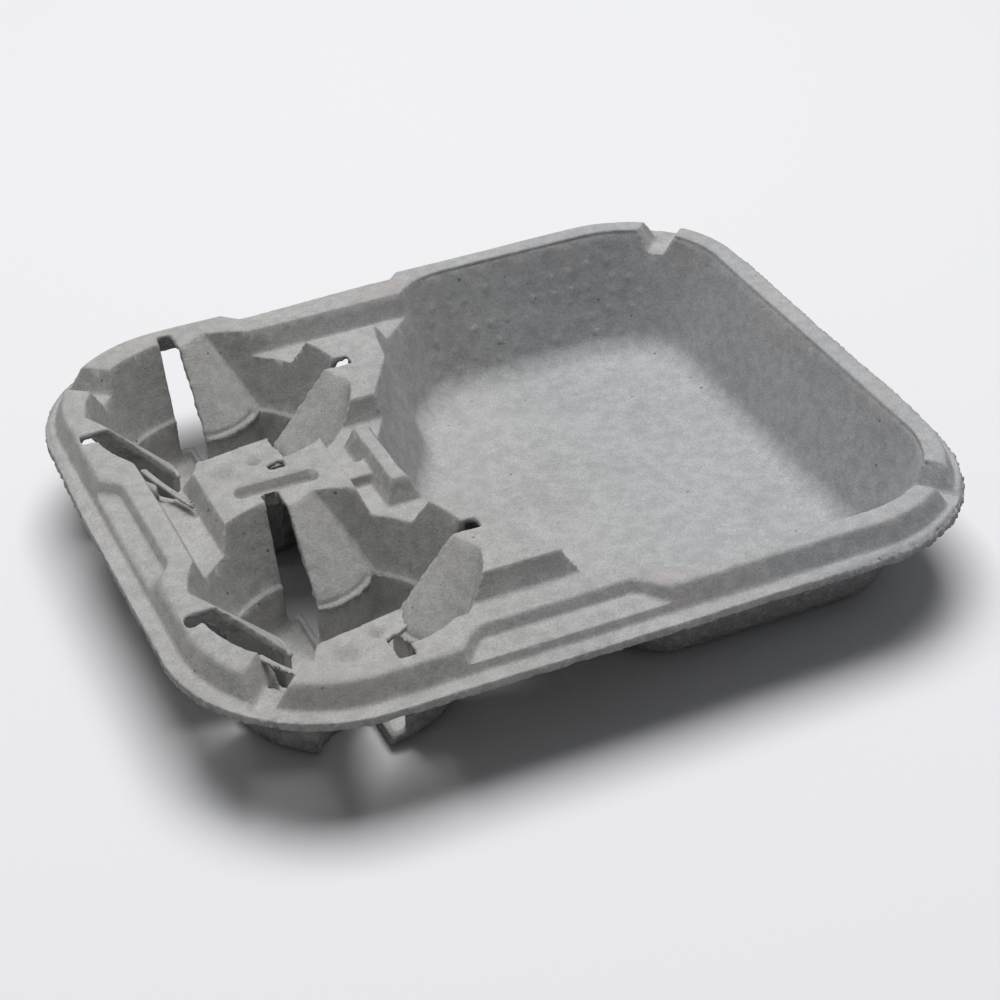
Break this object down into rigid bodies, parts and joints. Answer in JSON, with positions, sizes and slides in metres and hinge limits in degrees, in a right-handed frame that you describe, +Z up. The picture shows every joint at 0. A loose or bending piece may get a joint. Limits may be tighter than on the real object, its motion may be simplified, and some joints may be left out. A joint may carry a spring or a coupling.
{
  "type": "moulded pulp cup and food carrier tray",
  "caption": "Moulded-pulp carrier tray: round cup pockets beside a deep food compartment, slit fingers leaning into each pocket to grip a cup, and a flanged rim with finger shelves.",
  "frame": {"origin": "on the ground under the middle of the flange's outline", "axes": "+X from the cup pockets to the food compartment, +Z up out of the open side"},
  "size_m": [0.254, 0.221, 0.042],
  "materials": {
    "pulp": "matt grey moulded pulp with fine mottling and dark specks"
  },
  "bodies": {
    "root": {"carrier_tray": "pulp"}
  },
  "joints": []
}
